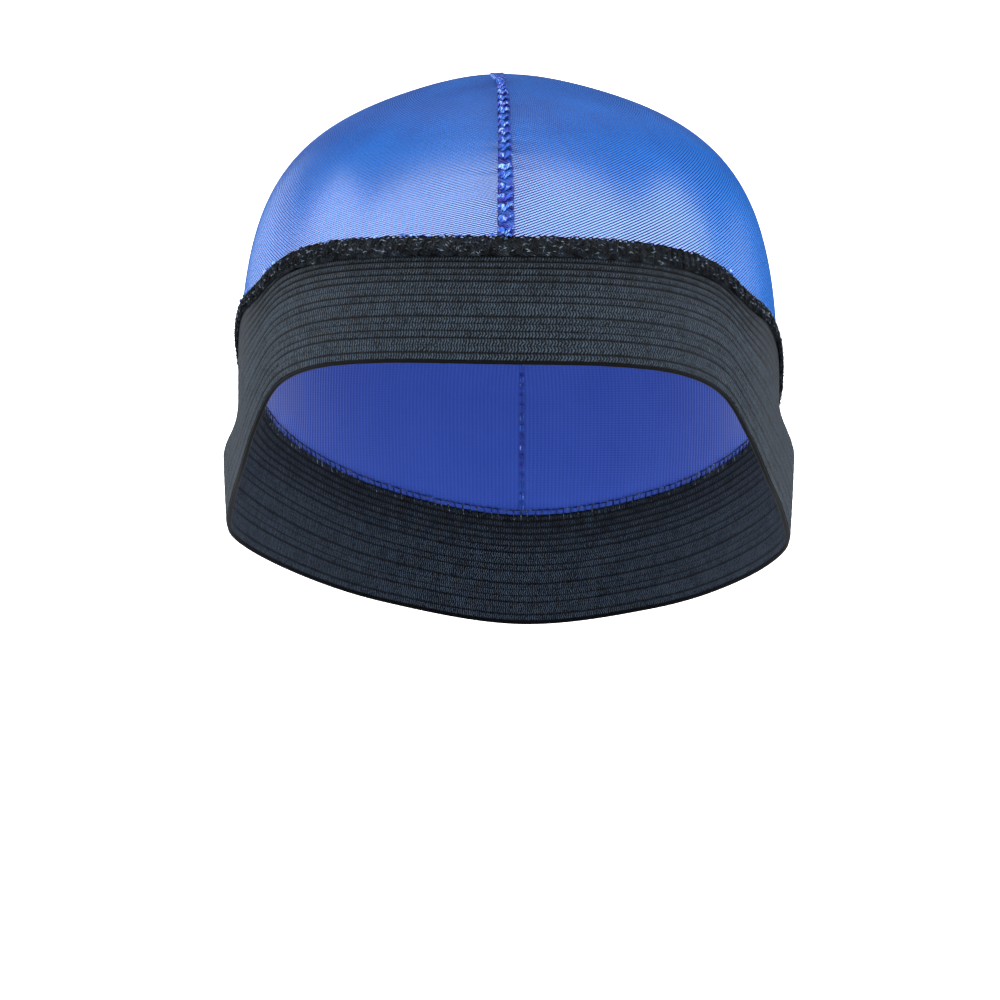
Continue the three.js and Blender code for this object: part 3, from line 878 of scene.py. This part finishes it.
# Overlock threads of the band's joint, the edge loops above them and the ladder of stitches inside
overlockStitch = {
    "pitch": 2.0, "radius": 0.19, "lie": 2.32, "top": 1.25, "bottom": -4.1, "edgeLie": 1.55, "footLie": 1.85,
}


def overlockThreads(name):
    c = overlockStitch
    s = Strands(7, 17, int(jointRound / c["pitch"]))
    t, arch, vary = s.steps, s.arch, s.vary
    start = s.spread(jointRound, 0.18)
    top, bottom, lie, radius = c["top"], c["bottom"], c["lie"], c["radius"]
    tall = top - bottom
    for k in range(2):
        height = bottom + vary(-0.2, 0.4) + (tall + vary(-0.3, 0.35)) * t
        over = lie + vary(-0.1, 0.15) + 0.18 * arch - 1.1 * np.clip(t - 0.84, 0, 1) / 0.16
        s.add(start, 0.55 * k + vary(0.9, 2.0) * t, height, over, radius, 0.05)
    height = top - 0.3 - (tall - 0.6) * t + vary(-0.3, 0.3)
    way = 0.3 + vary(0.8, 2.2) * t
    s.add(start, way, height, lie + 0.05 + 0.2 * arch + vary(-0.1, 0.1), radius * 0.9, 0.0)
    height = top - 0.1 + vary(0.15, 0.6) * arch
    over = c["edgeLie"] + vary(0.0, 0.3) + 0.25 * arch
    s.add(start, -0.2 + 2.4 * t, height, over, radius * 1.1, -0.05)
    height = bottom + vary(-0.25, 0.25) + 0.2 * arch
    s.add(start, 0.1 + 1.7 * t, height, c["footLie"] + 0.3 * arch, radius, 0.0)
    for k in range(3):
        lean = vary(-1.3, 1.3)
        height = bottom + 0.5 + (k + vary(0, 1)) * (tall - 1.2) / 3 + 0.5 * lean * t
        way = vary(0, 1.5) + vary(0.7, 1.4) * t
        s.add(start, way, height, lie + 0.12 + vary(0, 0.15) + 0.22 * arch, radius * 0.85, 0.36)
    narrow = lambda way, height, offset: capPoint(way, drawnIn(way, height, top), offset)
    return s.lay(name, narrow, 5, blackThread)


overlockStrands = overlockThreads("overlock_threads")
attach(overlockStrands, "root")
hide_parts("band_overlock")

edgeLoops = {
    "front": [-21.5, -17.2, -13.6, -9.2, -0.6, 3.6], "scattered": 34, "napeGap": 30,
    "radius": 0.28, "height": 1.05, "offset": 2.4, "tone": 0.45,
}


def blueLoops(name):
    c = edgeLoops
    s = Strands(7, 27, len(c["front"]) + c["scattered"])
    t, arch, vary = s.steps, s.arch, s.vary
    scattered = s.draw.uniform(c["napeGap"], jointRound - c["napeGap"], c["scattered"])
    start = np.concatenate([jointRound / 2 + np.array(c["front"]), scattered])
    wide = vary(0.9, 1.9)
    height = c["height"] + vary(-0.1, 0.15) + wide * 0.3 * arch
    offset = c["offset"] + vary(-0.1, 0.2) + 0.1 * arch
    s.add(start, wide * (t - 0.5), height, offset, c["radius"], c["tone"])
    return s.lay(name, capPoint, 5, seamThread)


loops = blueLoops("edge_loops")
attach(loops, "root")
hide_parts("band_overlock")

# Inside: the needle stitches of the seam, and the ladder of stitches at the joint
innerStitch = {"pitch": 3.0, "radius": 0.16, "across": 0.45, "ladderPitch": 2.2, "clothInside": 0.42}


def innerSeam(name):
    c = innerStitch
    s = Strands(5, 37, int(seamLine.length / c["pitch"]))
    t, arch = s.steps, s.arch
    start = s.spread(seamLine.length)
    for across in (-c["across"], c["across"]):
        s.add(start, 0.3 + 2.3 * t, across + 0 * t, c["clothInside"] - 0.12 * arch, c["radius"], 0.2)
    s.add(start, 0.6 + 0.5 * t, -0.7 + 1.4 * t, c["clothInside"] - 0.02 - 0.1 * arch, c["radius"], -0.1)
    return s.lay(name, alongSeam(seamLine.near), 5, seamThread, upSign=-1)


def jointLadder(name):
    c = innerStitch
    s = Strands(5, 47, int(jointRound / c["ladderPitch"]))
    t, arch, vary = s.steps, s.arch, s.vary
    start = s.spread(jointRound)
    height = -1.7 + vary(-0.2, 0.2) + 3.3 * t
    way = 0.35 * t + vary(0, 0.3)
    under = -0.02 + c["clothInside"] * smooth((height + 0.6) / 1.2) - 0.1 * arch
    s.add(start, way, height, under, c["radius"], 0.3)
    s.add(start, 0.2 + 1.9 * t, 1.55 + vary(-0.1, 0.1), c["clothInside"] - 0.1 * arch, c["radius"], 0.2)
    return s.lay(name, capPoint, 5, blackThread)


napeJoin = {
    "columns": [-3.4, 3.4], "pitch": 1.7, "swing": 0.9, "radius": 0.2, "edge": 4.9,
    "low": -31.5, "high": -5.0,
}


def napeStitches(name):
    # zigzag stitches over the overlapped ends of the elastic, and its cut edge
    c = napeJoin
    heights = np.arange(c["low"], c["high"], c["pitch"])
    s = Strands(5, 57, len(heights))
    t, arch = s.steps, s.arch
    for column in c["columns"]:
        for step, turn in ((0.0, 1), (0.5, -1)):
            start = np.full(len(heights), column)
            height = heights[:, None] + c["pitch"] * (step + 0.5 * t)
            offset = capBand["wall"] + 0.02 + 0.2 * arch
            s.add(start, turn * c["swing"] * (2 * t - 1), height, offset, c["radius"], 0.5)
    start = np.full(len(heights), c["edge"])
    height = heights[:, None] + (c["pitch"] + 0.2) * t
    s.add(start, 0.1 * arch, height, capBand["wall"] - 0.05 + 0 * t, c["radius"] * 1.6, -0.2)
    return s.lay(name, capPoint, 6, blackThread)


for piece, node, slot in (
    (innerSeam("inner_seam_stitches"), "crown_seam", "seam_thread"),
    (jointLadder("inner_joint_stitches"), "band_overlock", "overlock_thread"),
    (napeStitches("nape_join_stitches"), "elastic_band", "overlock_thread"),
):
    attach(piece, "root")
    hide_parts(node)

# Floor and backdrop in one round bowl, and soft studio light
studio = {
    "floorLevel": -0.2, "radius": 4.2, "floorRadius": 3.0, "rim": 0.92, "curve": 0.7, "glow": 2.1,
    "aimLevel": 0.05,
    "lights": [
        ("overhead", (0.0, -0.65, 1.48), (2.8, 1.84), 35.0),
        ("left", (-1.35, 0.06, 0.78), (1.5, 1.25), 12.0),
        ("right", (1.35, 0.06, 0.78), (1.5, 1.25), 12.0),
        ("rimLeft", (-1.08, 1.0, 0.42), (1.3, 0.55), 2.8),
        ("rimRight", (1.1, 1.15, 0.38), (0.6, 0.4), 0.6),
    ],
    "worldStrength": 0.01,
}


def addStage(place):
    bpy.ops.mesh.primitive_circle_add(vertices=96, radius=place["radius"], fill_type="NGON")
    floor = bpy.context.object
    floor.name = "floor"
    shrink = place["floorRadius"] / place["radius"]
    bpy.ops.object.mode_set(mode="EDIT")
    bpy.ops.transform.translate(value=(0, 0, place["floorLevel"] + place["rim"]))
    bpy.ops.mesh.extrude_region_move(TRANSFORM_OT_translate={"value": (0, 0, -place["rim"])})
    bpy.ops.transform.resize(value=(shrink, shrink, 1))
    bpy.ops.mesh.bevel(offset=place["curve"], segments=12)
    bpy.ops.mesh.select_all(action="SELECT")
    bpy.ops.mesh.normals_make_consistent(inside=True)
    bpy.ops.mesh.select_all(action="DESELECT")
    bpy.ops.object.mode_set(mode="OBJECT")
    for face in floor.data.polygons:
        face.select = face.center.z > place["floorLevel"] + place["rim"] - 0.001
    bpy.ops.object.mode_set(mode="EDIT")
    bpy.ops.mesh.delete(type="FACE")
    bpy.ops.object.mode_set(mode="OBJECT")
    bpy.ops.object.shade_smooth()
    floor.select_set(False)
    s = Shader("pale_floor")
    floor.data.materials.append(s.finish(**{
        "Base Color": rgb(244, 244, 244), "Roughness": 0.9,
        "Emission Color": rgb(255, 255, 255), "Emission Strength": place["glow"],
    }))
    floor.visible_glossy = False


def addLights(place):
    for name, spot, size, power in place["lights"]:
        bpy.ops.object.light_add(type="AREA", location=spot)
        light = bpy.context.object
        light.name = name
        light.data.shape = "RECTANGLE"
        light.data.size, light.data.size_y = size
        light.data.energy = power
        x, y, z = np.array((0, 0, place["aimLevel"])) - np.array(spot)
        light.rotation_euler = (math.atan2(math.hypot(x, y), -z), 0, math.atan2(-x, y))
        light.select_set(False)
    world = bpy.data.worlds.new("studio")
    bpy.context.scene.world = world
    world.use_nodes = True
    background = world.node_tree.nodes["Background"].inputs
    background["Color"].default_value = (1, 1, 1, 1)
    background["Strength"].default_value = place["worldStrength"]


addStage(studio)
addLights(studio)
print("stage and lights made")
